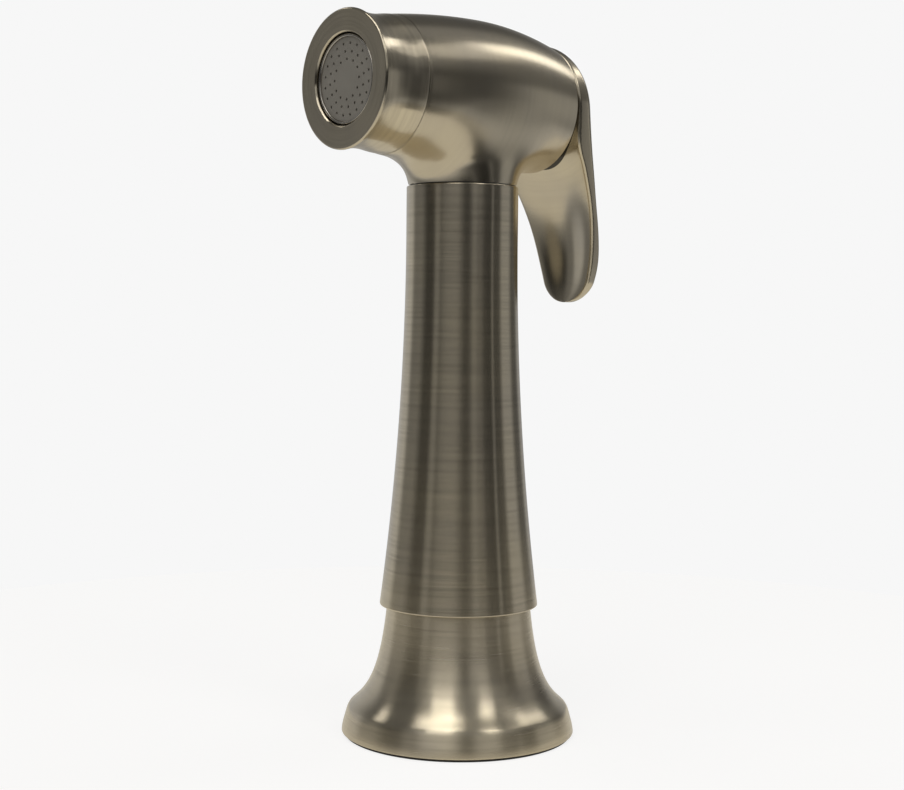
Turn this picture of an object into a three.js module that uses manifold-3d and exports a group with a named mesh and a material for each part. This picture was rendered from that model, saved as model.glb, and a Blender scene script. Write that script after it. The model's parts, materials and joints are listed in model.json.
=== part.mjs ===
// A kitchen hand spray standing in its deck holder: the flared foot and guide stay on the deck, and the
// spray with its trigger lever lifts out of them on a swivel inlet.
// Millimetres, +Z up, the deck at Z = 0. The spray face looks along -Y.
import * as THREE from 'three';
import { mergeVertices } from 'three/addons/utils/BufferGeometryUtils.js';
import Module from 'manifold-3d';

const wasm = await Module();
wasm.setup();

// ---------------------------------------------------------------- driving dimensions

const AXIS_Y = -1.5; // the handle's axis; it puts the origin at the middle of the object's footprint box

// Heights on the handle's axis.
const GASKET_TOP = 0.5;
const FLANGE_FOOT = 0.6;
const COLLAR_TOP = 33.0;
const GUIDE_TOP = 34.8;
const SKIRT_Z = 30.0; // the lower rim of the handle sleeve
const TUBE_FOOT = 22.2;
const NECK_Z = 126.1; // the top of the handle sleeve
const HEAD_FOOT = 126.4;
const HEAD_Z = 147.1; // the axis of the spray head
const TUBE_TOP = 133.8;

// Radii of the foot.
const FOOT_R = 26.9;
const GUIDE_BORE = 11.4;

// The handle sleeve: a straight grip that flares towards its skirt.
const GRIP_R = 12.8;
const SKIRT_R = 18.3;
const FLARE_TOP = 115;
const SLEEVE_WALL = 1.3;

// The water tube down the middle.
const TUBE_R = 6.5;
const TUBE_BORE = 4.5;

// The spray head. Distances along its axis run from the handle's axis towards the spray face.
const FACE = 34.6;
const LIP_R = 15.1;
const NOSE_SEAM = 22.7;
const SEAM_R = 15.2;
const BACK = -22.1;
const BACK_R = 15.0;
const BACK_DROP = 1.4; // how far the back end's centre lies under the head's axis
const BARREL_R = 16.85;
const NECK_R = 12.5;
const NOSE_BORE = 12.2;

// The valve lies under the head's axis, behind the spray face.
const VALVE_DROP = 6.0;
const VALVE_BORE = 5.2;
const STEM_R = 2.0;

// The lever: its pivot, and the wedge that its cap leaves open behind the head.
const PIVOT_Y = 2.6;
const PIVOT_S = -20.3;
const PIN_R = 1.2;
const WEDGE_DEG = 6.3;
const CAP_GAP = 0.3;
const LEVER_TIP_Y = -46.9;

const FINE = 36;
const MEDIUM = 24;
const SMALL = 16;

// ---------------------------------------------------------------- materials

const finish = (color, metalness, roughness) =>
  new THREE.MeshStandardMaterial({ color, metalness, roughness });
const nickel = finish(0x9c9484, 1.0, 0.3);
const brass = finish(0xb8924a, 1.0, 0.35);
const stainless = finish(0xb4b4b0, 1.0, 0.3);
const nylon = finish(0x26262a, 0.0, 0.55);
const acetal = finish(0xd8d6cf, 0.0, 0.5);
const rubber = finish(0x151515, 0.0, 0.8);
const facePlastic = finish(0x8b8983, 0.1, 0.5);

// ---------------------------------------------------------------- geometry helpers

// Reverses every triangle of a geometry whose faces point inwards.
function facingOut(geometry) {
  const merged = welded(geometry);
  const p = merged.attributes.position;
  const index = merged.index.array;
  const [a, b, c] = [new THREE.Vector3(), new THREE.Vector3(), new THREE.Vector3()];
  let volume = 0;
  for (let i = 0; i < index.length; i += 3) {
    a.fromBufferAttribute(p, index[i]);
    b.fromBufferAttribute(p, index[i + 1]);
    c.fromBufferAttribute(p, index[i + 2]);
    volume += a.dot(b.cross(c));
  }
  if (volume < 0) {
    for (let i = 0; i < index.length; i += 3) [index[i + 1], index[i + 2]] = [index[i + 2], index[i + 1]];
  }
  return merged;
}

// One vertex for each place, and no triangle that has collapsed onto an edge.
function welded(geometry) {
  const bare = new THREE.BufferGeometry().setAttribute('position', geometry.getAttribute('position'));
  if (geometry.index) bare.setIndex(geometry.index);
  const merged = mergeVertices(bare, 1e-4);
  const kept = [];
  for (let i = 0; i < merged.index.count; i += 3) {
    const [a, b, c] = [0, 1, 2].map((k) => merged.index.getX(i + k));
    if (a !== b && b !== c && c !== a) kept.push(a, b, c);
  }
  return merged.setIndex(kept);
}

// A profile of [radius, height] turned about Z. One that isn't on the axis at both ends closes on itself.
function turned(profile, segments) {
  const open = profile[0][0] === 0 && profile.at(-1)[0] === 0;
  const loop = open ? profile : [...profile, profile[0]];
  const points = loop.map(([r, z]) => new THREE.Vector2(r, z));
  return facingOut(new THREE.LatheGeometry(points, segments).rotateX(Math.PI / 2));
}

// A plain ring, or a disc where the bore is 0.
function ring(bore, radius, low, high, segments) {
  if (bore === 0) return turned([[0, low], [radius, low], [radius, high], [0, high]], segments);
  return turned([[bore, low], [radius, low], [radius, high], [bore, high]], segments);
}

function oRing(middle, wire, height, sides = 20) {
  return facingOut(new THREE.TorusGeometry(middle, wire, 5, sides)).translate(0, 0, height);
}

// A prism with a regular outline, its flats set by across, its axis Z.
function prism(sides, across, low, high) {
  const corner = across / 2 / Math.cos(Math.PI / sides);
  const body = new THREE.CylinderGeometry(corner, corner, high - low, sides).rotateX(Math.PI / 2);
  return facingOut(body).translate(0, 0, (low + high) / 2);
}

// Points of an arc about (r, z), for a profile.
function arc(r, z, radius, fromDeg, toDeg, steps) {
  return Array.from({ length: steps + 1 }, (_, i) => {
    const a = THREE.MathUtils.degToRad(fromDeg + ((toDeg - fromDeg) * i) / steps);
    return [r + radius * Math.cos(a), z + radius * Math.sin(a)];
  });
}

// A skin over rings of points, closed by a fan at each end.
function lofted(rings) {
  const around = rings[0].length;
  const points = rings.flat();
  const middle = (row) => row.reduce((sum, p) => sum.add(p), new THREE.Vector3()).divideScalar(around);
  points.push(middle(rings[0]), middle(rings.at(-1)));
  const [first, last] = [points.length - 2, points.length - 1];
  const index = [];
  for (let i = 0; i < around; i++) {
    const j = (i + 1) % around;
    for (let k = 0; k + 1 < rings.length; k++) {
      const [a, b, c, d] = [k * around + i, k * around + j, (k + 1) * around + j, (k + 1) * around + i];
      index.push(a, b, c, a, c, d);
    }
    const end = (rings.length - 1) * around;
    index.push(first, j, i, last, end + i, end + j);
  }
  return facingOut(new THREE.BufferGeometry().setFromPoints(points).setIndex(index));
}

// A value that follows a smooth curve through a few [place, value] pairs, in falling order of place.
function through(pairs) {
  return (x) => {
    const k = Math.min(pairs.length - 2, Math.max(0, pairs.findIndex(([place]) => place <= x) - 1));
    const [[x0, v0], [x1, v1]] = [pairs[k], pairs[k + 1]];
    const slope = (i) => {
      const [lo, hi] = [pairs[Math.max(0, i - 1)], pairs[Math.min(pairs.length - 1, i + 1)]];
      return (hi[1] - lo[1]) / (hi[0] - lo[0]);
    };
    const t = THREE.MathUtils.clamp((x - x0) / (x1 - x0), 0, 1);
    const h = x1 - x0;
    return (
      v0 * (1 + 2 * t) * (1 - t) ** 2 +
      v1 * t * t * (3 - 2 * t) +
      h * slope(k) * t * (1 - t) ** 2 -
      h * slope(k + 1) * t * t * (1 - t)
    );
  };
}

const solid = (geometry) => {
  const g = welded(geometry);
  return new wasm.Manifold(
    new wasm.Mesh({
      numProp: 3,
      vertProperties: new Float32Array(g.attributes.position.array),
      triVerts: new Uint32Array(g.index.array),
    }),
  );
};

function geometryOf(manifold) {
  const mesh = manifold.getMesh();
  const g = new THREE.BufferGeometry()
    .setAttribute('position', new THREE.BufferAttribute(new Float32Array(mesh.vertProperties), 3))
    .setIndex(new THREE.BufferAttribute(new Uint32Array(mesh.triVerts), 1));
  g.computeVertexNormals();
  return g;
}

function cut(body, ...tools) {
  return geometryOf(tools.reduce((left, tool) => left.subtract(solid(tool)), solid(body)));
}

function joined(...bodies) {
  return geometryOf(bodies.map(solid).reduce((a, b) => a.add(b)));
}

// A flat outline with holes, pushed up along Z.
function plate(outline, holes, low, high) {
  const shape = new THREE.Shape(outline);
  shape.holes = holes.map((hole) => new THREE.Path(hole));
  const body = new THREE.ExtrudeGeometry(shape, { depth: high - low, bevelEnabled: false });
  return facingOut(body).translate(0, 0, low);
}

function circle(radius, sides, x = 0, y = 0) {
  return Array.from({ length: sides }, (_, i) => {
    const a = (2 * Math.PI * i) / sides;
    return new THREE.Vector2(x + radius * Math.cos(a), y + radius * Math.sin(a));
  });
}

function add(group, name, geometry, material) {
  if (!geometry.attributes.normal) geometry.computeVertexNormals();
  const mesh = new THREE.Mesh(geometry, material);
  mesh.name = name;
  group.add(mesh);
}

// A screw thread shown as plain rings: crests and roots one pitch apart, from low to high.
function threadRings(crest, root, low, high, pitch) {
  const turns = Math.floor((high - low) / pitch);
  const points = [[crest, low]];
  for (let i = 0; i < turns; i++) {
    points.push([root, low + pitch * (i + 0.5)], [crest, low + pitch * (i + 1)]);
  }
  return points;
}

// ---------------------------------------------------------------- deck holder

function holder() {
  const group = new THREE.Group();
  const flare = (z) => 13.5 + 96.8 / (z + 1.48);
  const collar = [30, 24, 19, 15, 12, 9.5, 7.2].map((z) => [flare(z), z]);
  const rim = [[25.35, 6.45], [25.85, 5.6], [26.4, 4.1], [26.75, 2.4], [FOOT_R, FLANGE_FOOT]];
  const inside = [[23.9, FLANGE_FOOT], [22.6, 4.2], [19.6, 7.4], [16.9, 12], [15.0, 20]];
  add(
    group,
    'holder_flange',
    turned(
      [[15.0, COLLAR_TOP], [15.9, COLLAR_TOP], [16.15, COLLAR_TOP - 0.3], ...collar, ...rim, ...inside],
      FINE,
    ),
    nickel,
  );
  add(group, 'holder_gasket', ring(20.5, 26.3, 0, GASKET_TOP, FINE), rubber);
  add(
    group,
    'holder_guide',
    turned(
      [
        [GUIDE_BORE, 3], [13.3, 3], [13.3, 14], [14.8, 16], [14.8, COLLAR_TOP + 0.15],
        [15.7, COLLAR_TOP + 0.15], [15.7, GUIDE_TOP - 0.3], [15.4, GUIDE_TOP],
        [13.2, GUIDE_TOP], [GUIDE_BORE, GUIDE_TOP - 3],
      ],
      MEDIUM,
    ),
    acetal,
  );
  return group;
}

// ---------------------------------------------------------------- swivel inlet

const FLANGE_UNDER = 20.3; // the tailpiece's flange, trapped between the union nut and the tube's foot

function inlet() {
  const group = new THREE.Group();
  const body = turned(
    [
      [3.0, 10], [4.3, 9.4], [4.3, 8.2], [5.3, 8.2], ...threadRings(5.8, 5.3, 8.8, 14.8, 1.5),
      [5.0, 15.2], [5.0, FLANGE_UNDER], [6.1, FLANGE_UNDER], [6.1, 21.9], [4.25, 21.9],
      [4.25, 24.4], [3.5, 24.4], [3.5, 25.6], [4.25, 25.6], [4.25, 27.9], [3.5, 27.9], [3.5, 29.1],
      [4.25, 29.1], [4.25, 30.7], [3.9, 31.1], [3.0, 31.1],
    ],
    24,
  );
  const flats = cut(prism(6, 12, 15.4, 17.4), ring(0, 4.6, 15, 18, 24));
  add(group, 'inlet_tailpiece', joined(body, flats), brass);
  add(group, 'inlet_oring_lower', oRing(3.98, 0.42, 25.0), rubber);
  add(group, 'inlet_oring_upper', oRing(3.98, 0.42, 28.5), rubber);
  add(group, 'swivel_washer', ring(5.25, 6.1, 19.7, FLANGE_UNDER - 0.1, 24), acetal);
  add(group, 'inlet_strainer', plate(circle(4.1, 18), strainerHoles(), 8.5, 9.1), stainless);
  return group;
}

function strainerHoles() {
  const around = Array.from({ length: 6 }, (_, i) => (i * Math.PI) / 3);
  return [circle(0.55, 6), ...around.map((a) => circle(0.55, 6, 2.3 * Math.cos(a), 2.3 * Math.sin(a)))];
}

// ---------------------------------------------------------------- handle

const sleeveR = (z) =>
  GRIP_R + (SKIRT_R - GRIP_R) * (Math.max(0, FLARE_TOP - z) / (FLARE_TOP - SKIRT_Z)) ** 2;

function handle() {
  const group = new THREE.Group();
  const flareHeights = [FLARE_TOP, 100, 85, 70, 55, 42, SKIRT_Z + 0.5];
  const flare = flareHeights.map((z) => [sleeveR(z), z]);
  const outer = [[GRIP_R - 0.45, NECK_Z], [GRIP_R, NECK_Z - 0.6], ...flare];
  const inner = [SKIRT_Z, 42, 55, 70, 85, 100].map((z) => [sleeveR(z) - SLEEVE_WALL, z]);
  const web = 119; // the underside of the web that closes the sleeve round the tube
  add(
    group,
    'handle_sleeve',
    turned(
      [
        [TUBE_R + 0.4, NECK_Z], ...outer, [SKIRT_R - 0.4, SKIRT_Z], ...inner,
        [GRIP_R - SLEEVE_WALL - 0.2, web], [TUBE_R + 0.4, web],
      ],
      FINE,
    ),
    nickel,
  );
  const groove = 0.6;
  const sealZ = 131.5;
  const clipZ = 28.4;
  add(
    group,
    'waterway_tube',
    turned(
      [
        [TUBE_BORE, TUBE_FOOT], [TUBE_R, TUBE_FOOT], [TUBE_R, clipZ], [TUBE_R - groove, clipZ],
        [TUBE_R - groove, clipZ + 0.9], [TUBE_R, clipZ + 0.9], [TUBE_R, sealZ - groove],
        [TUBE_R - groove, sealZ - groove], [TUBE_R - groove, sealZ + groove], [TUBE_R, sealZ + groove],
        [TUBE_R, TUBE_TOP - 0.4], [TUBE_R - 0.4, TUBE_TOP], [TUBE_BORE, TUBE_TOP],
      ],
      24,
    ),
    brass,
  );
  add(group, 'neck_oring', oRing(6.45, 0.48, sealZ), rubber);
  add(group, 'neck_washer', ring(TUBE_R + 0.4, 12.1, NECK_Z + 0.05, HEAD_FOOT - 0.05, FINE), nylon);
  add(group, 'sleeve_locknut', cut(prism(6, 18, 114.2, 118.7), ring(0, TUBE_R + 0.25, 114, 119, 24)), brass);
  add(
    group,
    'tail_guide',
    turned(
      [
        [TUBE_R + 0.2, 29.6], [10.9, 29.6], [10.9, GUIDE_TOP + 0.1], [15.4, GUIDE_TOP + 0.1], [15.4, 38.4],
        [14.2, 38.4], [14.2, 36.7], [9.4, 36.7], [9.4, 31.2], [8.7, 31.2], [8.7, 38.4], [TUBE_R + 0.2, 38.4],
      ],
      MEDIUM,
    ),
    nylon,
  );
  add(group, 'tail_circlip', circlip(TUBE_R - groove + 0.15, 8.6, clipZ + 0.1, clipZ + 0.8), stainless);
  const nutFoot = 18.2;
  add(
    group,
    'union_nut',
    cut(
      prism(6, 17, nutFoot, 27.6),
      ring(0, TUBE_R + 0.2, 19.6, 28, 24),
      ring(0, 5.2, nutFoot - 1, 20, 24),
      turned([[8.4, nutFoot - 1], [11, nutFoot - 1], [11, nutFoot + 1.6]], 24),
    ),
    brass,
  );
  return group;
}

// A flat spring ring with a gap to open it by.
function circlip(bore, radius, low, high) {
  const gap = 0.45; // half of the opening's angle, in radians
  const outline = new THREE.Shape();
  outline.absarc(0, 0, radius, gap, 2 * Math.PI - gap, false);
  outline.absarc(0, 0, bore, 2 * Math.PI - gap, gap, true);
  const depth = high - low;
  const body = new THREE.ExtrudeGeometry(outline, { depth, bevelEnabled: false, curveSegments: 10 });
  return facingOut(body).translate(0, 0, low);
}

// ---------------------------------------------------------------- spray head
// Everything below is made in the head's own frame: X across, Y up and Z towards the spray face.

const barrelR = (s) =>
  s > 0
    ? BARREL_R - (BARREL_R - SEAM_R) * (s / NOSE_SEAM) ** 2
    : BARREL_R - (BARREL_R - BACK_R) * (s / BACK) ** 2;
const barrelY = (s) => (s < 0 ? -BACK_DROP * (s / BACK) ** 2 : 0);

function barrel() {
  const stations = [BACK, -18.5, -14, -8, 0, 8, 15, NOSE_SEAM];
  return lofted(
    stations.map((s) => circle(barrelR(s), FINE, 0, barrelY(s)).map((p) => new THREE.Vector3(p.x, p.y, s))),
  );
}

// The neck under the barrel: it widens towards the front and back only, where it runs into the barrel.
function neck() {
  const stations = [
    [0, 0, 0], [1.5, 0.1, 0.5], [3, 0.2, 1.4], [4.5, 0.3, 2.8], [6, 0.4, 4.6], [8, 0.4, 4.6], [14, 0.4, 2],
  ];
  return lofted(
    stations.map(([up, across, along]) =>
      circle(1, FINE).map(
        (p) =>
          new THREE.Vector3(p.x * (NECK_R + across), HEAD_FOOT - HEAD_Z + up, p.y * (NECK_R + along)),
      ),
    ),
  );
}

const SCREW_X = 8.6;
const SCREW_Y = 2.4;
const RECESS_FLOOR = -15.1;
const RECESS_R = 12.4;

function headBody() {
  const upright = (geometry) => geometry.rotateX(-Math.PI / 2); // from Z up to the head's Y up
  const screwHoles = [-SCREW_X, SCREW_X].map((x) => ring(0, 1.35, -16, -10.4, 12).translate(x, SCREW_Y, 0));
  const foot = HEAD_FOOT - HEAD_Z;
  return cut(
    joined(barrel(), neck()),
    ring(0, NOSE_BORE, 6, NOSE_SEAM + 1, MEDIUM),
    ring(0, VALVE_BORE, RECESS_FLOOR - 1, 7, 24).translate(0, -VALVE_DROP, 0),
    ring(0, RECESS_R, BACK - 1, RECESS_FLOOR, MEDIUM).translate(0, -BACK_DROP, 0),
    upright(ring(0, TUBE_R + 0.5, foot - 1, -13.2, 24)),
    upright(ring(0, TUBE_BORE, -14, -VALVE_DROP - 1, 24)),
    ...screwHoles,
  );
}

function noseRing() {
  const waist = [[SEAM_R, NOSE_SEAM + 0.2], [14.9, 25.4], [14.5, 28.0], [14.4, 30.2], [14.7, 32.4]];
  return turned(
    [
      [10.4, 13], [NOSE_BORE - 0.2, 13], [NOSE_BORE - 0.2, 19.4], [11.0, 19.4], [11.0, 20.8],
      [NOSE_BORE - 0.2, 20.8], [NOSE_BORE - 0.2, NOSE_SEAM + 0.2], ...waist,
      ...arc(LIP_R - 0.6, FACE - 0.6, 0.6, 0, 90, 3), [9.95, FACE - 0.35], [9.95, 27.4], [10.4, 26.8],
    ],
    FINE,
  );
}

// Each row of the face's spray holes: its radius on the disc, its number of holes and its first angle.
const HOLE_ROWS = [[4.3, 12, 0], [5.97, 16, 0.1], [7.7, 20, 0.16]];

function sprayHoles() {
  return HOLE_ROWS.flatMap(([radius, count, first]) =>
    Array.from({ length: count }, (_, i) => {
      const a = first + (2 * Math.PI * i) / count;
      return circle(0.36, 5, radius * Math.cos(a), radius * Math.sin(a));
    }),
  );
}

function waterHoles(count, pitchRadius, radius, first) {
  return Array.from({ length: count }, (_, i) => {
    const a = first + (2 * Math.PI * i) / count;
    return circle(radius, 8, pitchRadius * Math.cos(a), pitchRadius * Math.sin(a));
  });
}

function sprayNose(group) {
  add(group, 'nose_ring', noseRing(), nickel);
  add(group, 'nose_oring', oRing(11.6, 0.48, 20.1, FINE), rubber);
  add(group, 'spray_disc', plate(circle(9.0, FINE), sprayHoles(), 32.5, 33.5), facePlastic);
  add(
    group,
    'disc_bezel',
    turned(
      [[9.15, 27.8], [9.65, 27.8], [9.65, 33.9], [9.4, 34.25], [8.95, 34.15], [8.8, 33.7], [9.15, 33.6]],
      FINE,
    ),
    stainless,
  );
  add(group, 'face_gasket', ring(8.2, 8.95, 31.6, 32.4, MEDIUM), rubber);
  add(group, 'flow_diffuser', plate(circle(8.9, MEDIUM), waterHoles(8, 5.8, 1.1, 0.2), 28.4, 31.4), acetal);
  const springPlateHoles = waterHoles(6, 7.4, 1.6, Math.PI / 6);
  add(group, 'spring_plate', plate(circle(10.1, MEDIUM), springPlateHoles, 15.4, 17.0), acetal);
}

// A pillar of the yoke: a rounded ear in the YZ plane, from the yoke's plate back round the pin.
function ear(low, high) {
  const outline = new THREE.Shape();
  const reach = 3.0;
  outline.moveTo(-(RECESS_FLOOR - 1.7), PIVOT_Y - reach);
  outline.lineTo(-PIVOT_S, PIVOT_Y - reach);
  outline.absarc(-PIVOT_S, PIVOT_Y, reach, -Math.PI / 2, Math.PI / 2, false);
  outline.lineTo(-(RECESS_FLOOR - 1.7), PIVOT_Y + reach);
  const depth = high - low;
  const body = new THREE.ExtrudeGeometry(outline, { depth, bevelEnabled: false, curveSegments: 5 });
  return facingOut(body).rotateY(Math.PI / 2).translate(low, 0, 0);
}

function pivotRod(radius, from, to, sides) {
  return ring(0, radius, from, to, sides).rotateY(Math.PI / 2).translate(0, PIVOT_Y, PIVOT_S);
}

function pivotYoke() {
  const low = RECESS_FLOOR - 1.8;
  const plateHoles = [
    circle(6.4, 24, 0, -VALVE_DROP),
    circle(1.35, 12, -SCREW_X, SCREW_Y),
    circle(1.35, 12, SCREW_X, SCREW_Y),
  ];
  const base = plate(circle(RECESS_R - 0.4, MEDIUM, 0, -BACK_DROP), plateHoles, low, RECESS_FLOOR - 0.2);
  return cut(joined(base, ear(2.6, 4.4), ear(-4.4, -2.6)), pivotRod(PIN_R + 0.1, -6, 6, 16));
}

function valveHousing(group) {
  const own = new THREE.Group();
  own.position.y = -VALVE_DROP;
  add(
    own,
    'valve_bonnet',
    turned(
      [
        [STEM_R + 0.15, -17.3], [5.6, -17.3], [5.6, RECESS_FLOOR - 0.2], [4.95, RECESS_FLOOR - 0.2],
        [4.95, -8.2], [STEM_R + 0.15, -8.2], [STEM_R + 0.15, -10.4], [3.2, -10.4], [3.2, -11.6],
        [STEM_R + 0.15, -11.6],
      ],
      24,
    ),
    brass,
  );
  add(own, 'stem_oring', oRing(2.64, 0.48, -11.0), rubber);
  add(own, 'valve_seat', ring(2.9, 4.95, 3.4, 5.9, 24), brass);
  group.add(own);
}

function screw(group, name, x) {
  const body = turned(
    [[0, -18.5], [1.4, -18.5], [2.0, -18.0], [2.0, -17.0], [1.15, -17.0], [1.15, -11.1], [0, -11.1]],
    12,
  );
  add(group, name, body.translate(x, SCREW_Y, 0), stainless);
}

function head() {
  const group = new THREE.Group();
  add(group, 'head_body', headBody(), nickel);
  sprayNose(group);
  add(group, 'pivot_yoke', pivotYoke(), stainless);
  add(group, 'pivot_pin', pivotRod(PIN_R, -4.6, 4.6, 16), stainless);
  screw(group, 'yoke_screw_left', -SCREW_X);
  screw(group, 'yoke_screw_right', SCREW_X);
  valveHousing(group);
  return group;
}

// ---------------------------------------------------------------- moving valve

function springCoil(radius, wire, low, high, turns) {
  class Helix extends THREE.Curve {
    getPoint(t, target = new THREE.Vector3()) {
      const a = 2 * Math.PI * turns * t;
      return target.set(radius * Math.cos(a), radius * Math.sin(a), low + wire + (high - low - 2 * wire) * t);
    }
  }
  const section = new THREE.Shape(circle(wire, 5));
  const path = { steps: 12 * turns, extrudePath: new Helix(), bevelEnabled: false };
  return facingOut(new THREE.ExtrudeGeometry(section, path));
}

function valve() {
  const group = new THREE.Group();
  group.position.y = -VALVE_DROP;
  add(
    group,
    'valve_stem',
    turned(
      [
        [0, -24.7], [0.9, -24.5], [1.6, -24.0], [STEM_R, -23.2], [STEM_R, -6.4], [1.5, -6], [1.5, 7.7],
        [1.1, 7.7], [1.1, 10.0], [0, 10.0],
      ],
      SMALL,
    ),
    stainless,
  );
  add(group, 'valve_washer', ring(1.6, 4.2, 6.0, 7.6, SMALL), rubber);
  const cup = [[1.2, 7.8], [4.6, 7.8], [4.6, 9.4], [4.4, 9.4], [4.3, 8.5], [1.2, 8.5]];
  add(group, 'washer_cup', turned(cup, SMALL), brass);
  add(group, 'valve_nut', cut(prism(6, 4.4, 8.6, 9.9), ring(0, 1.2, 8, 10.5, SMALL)), brass);
  add(group, 'valve_spring', springCoil(3.6, 0.35, 8.7, 15.2, 4.5), stainless);
  return group;
}

// ---------------------------------------------------------------- lever

// The lever from its top to its tip, by height on the head: its front edge, its back edge, how far the
// back bulges behind that edge, how far the front is dished, and the tongue's half width.
const frontEdge = through([
  [14, -22.4], [-3, -22.4], [-9, -22.5], [-12, -23.4], [-15, -25.6], [-19, -28.2], [-23, -29.9],
  [-28, -31.6], [-34, -32.9], [-40, -33.5], [-47, -33.4],
]);
const backEdge = through([
  [14, -23.0], [9, -24.0], [4, -24.6], [-1, -25.1], [-6, -26.0], [-12, -27.6], [-18, -29.7],
  [-23, -31.5], [-28, -33.3], [-33, -34.8], [-37, -35.6], [-42, -35.7], [-47, -34.8],
]);
const bulge = through([
  [14, 0.5], [12, 2.2], [9, 3.7], [4, 4.8], [-1, 5.4], [-6, 5.3], [-12, 4.8], [-18, 4.0],
  [-23, 3.2], [-28, 2.7], [-33, 2.3], [-37, 2.0], [-42, 1.5], [-47, 0.4],
]);
const dish = through([[14, 0], [-14, 0], [-18, 0.7], [-23, 1.5], [-33, 1.9], [-42, 1.2], [-47, 0.1]]);
const tongueW = through([
  [-1, 15], [-6, 14.55], [-12, 13.75], [-18, 12.7], [-23, 11.75], [-28, 10.8], [-34, 9.65],
  [-38, 8.8], [-41, 8.0], [-44, 6.7], [-46, 4.5], [-47, 1.6],
]);
const leverW = (y) =>
  y > -BACK_DROP ? Math.sqrt(Math.max(0, BACK_R ** 2 - (y + BACK_DROP) ** 2)) : tongueW(y);

// One level of the lever: round the back from one side to the other, then back across the front.
function leverSection(y) {
  const w = leverW(y);
  const back = Array.from({ length: 13 }, (_, i) => {
    const a = (Math.PI * i) / 12;
    return new THREE.Vector3(-w * Math.cos(a), y, backEdge(y) - bulge(y) * Math.sin(a));
  });
  const front = Array.from({ length: 9 }, (_, i) => {
    const t = 1 - (2 * i) / 8;
    return new THREE.Vector3(w * t * 0.96, y, frontEdge(y) - dish(y) * (1 - t * t));
  });
  return [...back, ...front];
}

function paddle() {
  const top = BACK_R - BACK_DROP - 0.05;
  const levels = [
    top, 13.3, 12.3, 10.6, 8, 4, -1, -5, -8, -11, -14, -17, -20, -23, -27, -32, -37, -41, -43.5,
    -45.3, -46.4, LEVER_TIP_Y,
  ];
  return lofted(levels.map(leverSection));
}

// The space that the head's back end needs as the lower part of the cap swings in under the pivot.
function wedge() {
  const tool = new THREE.BoxGeometry(40, 20, 12).translate(0, -10, 6);
  const tilt = THREE.MathUtils.degToRad(WEDGE_DEG);
  return facingOut(tool).rotateX(tilt).translate(0, PIVOT_Y, BACK - CAP_GAP);
}

function lug() {
  const reach = 2.9;
  const outline = new THREE.Shape();
  outline.moveTo(27.8, PIVOT_Y - reach);
  outline.lineTo(27.8, PIVOT_Y + reach);
  outline.lineTo(-PIVOT_S, PIVOT_Y + reach);
  outline.absarc(-PIVOT_S, PIVOT_Y, reach, Math.PI / 2, (3 * Math.PI) / 2, false);
  const body = new THREE.ExtrudeGeometry(outline, { depth: 4.4, bevelEnabled: false, curveSegments: 6 });
  return facingOut(body).rotateY(Math.PI / 2).translate(-2.2, 0, 0);
}

// The mouth that lets the lug snap over the pin from behind.
function lugMouth() {
  const mouth = new THREE.BoxGeometry(6, 2.0, 5).translate(0, PIVOT_Y, PIVOT_S + 2.5);
  return facingOut(mouth);
}

const POCKET_FLOOR = -25.9;
const POCKET_R = 10.5;

function lever() {
  const group = new THREE.Group();
  const pocket = ring(0, POCKET_R, POCKET_FLOOR, -19, MEDIUM).translate(0, -BACK_DROP, 0);
  const shell = cut(paddle(), wedge(), pocket);
  const body = cut(
    joined(shell, lug()),
    pivotRod(PIN_R + 0.08, -4, 4, 24),
    lugMouth(),
    ring(0, 1.3, POCKET_FLOOR - 1.5, POCKET_FLOOR + 1, 12).translate(0, -VALVE_DROP, 0),
  );
  add(group, 'lever', body, nickel);
  const pad = turned(
    [[0, -27.3], [1, -27.3], [1, -25.7], [2.8, -25.7], [2.8, -25.2], [2.6, -25.05], [0, -25.05]],
    12,
  );
  add(group, 'lever_pad', pad.translate(0, -VALVE_DROP, 0), nylon);
  return group;
}

// ---------------------------------------------------------------- assembly

const spray = new THREE.Group();
spray.position.z = HEAD_Z;
spray.rotation.x = Math.PI / 2;
spray.add(head(), valve(), lever());

const handSpray = new THREE.Group();
handSpray.position.y = AXIS_Y;
handSpray.add(holder(), inlet(), handle(), spray);

export default handSpray;
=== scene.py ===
"""A brushed nickel hand spray that stands in its deck holder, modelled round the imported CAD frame.

Outlines are in millimetres, as they are on a drawing, and become metres when a mesh is made.
Three local frames are used. UPRIGHT pieces turn about the handle's axis and their outlines are (radius, height).
NOSE pieces turn about the spray head's axis and VALVE pieces about the valve's: their outlines are
(radius, distance towards the spray face), measured from the handle's axis.
"""

import json
import math

import bmesh
import bpy
import numpy as np
from mathutils import Matrix, Vector


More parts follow.
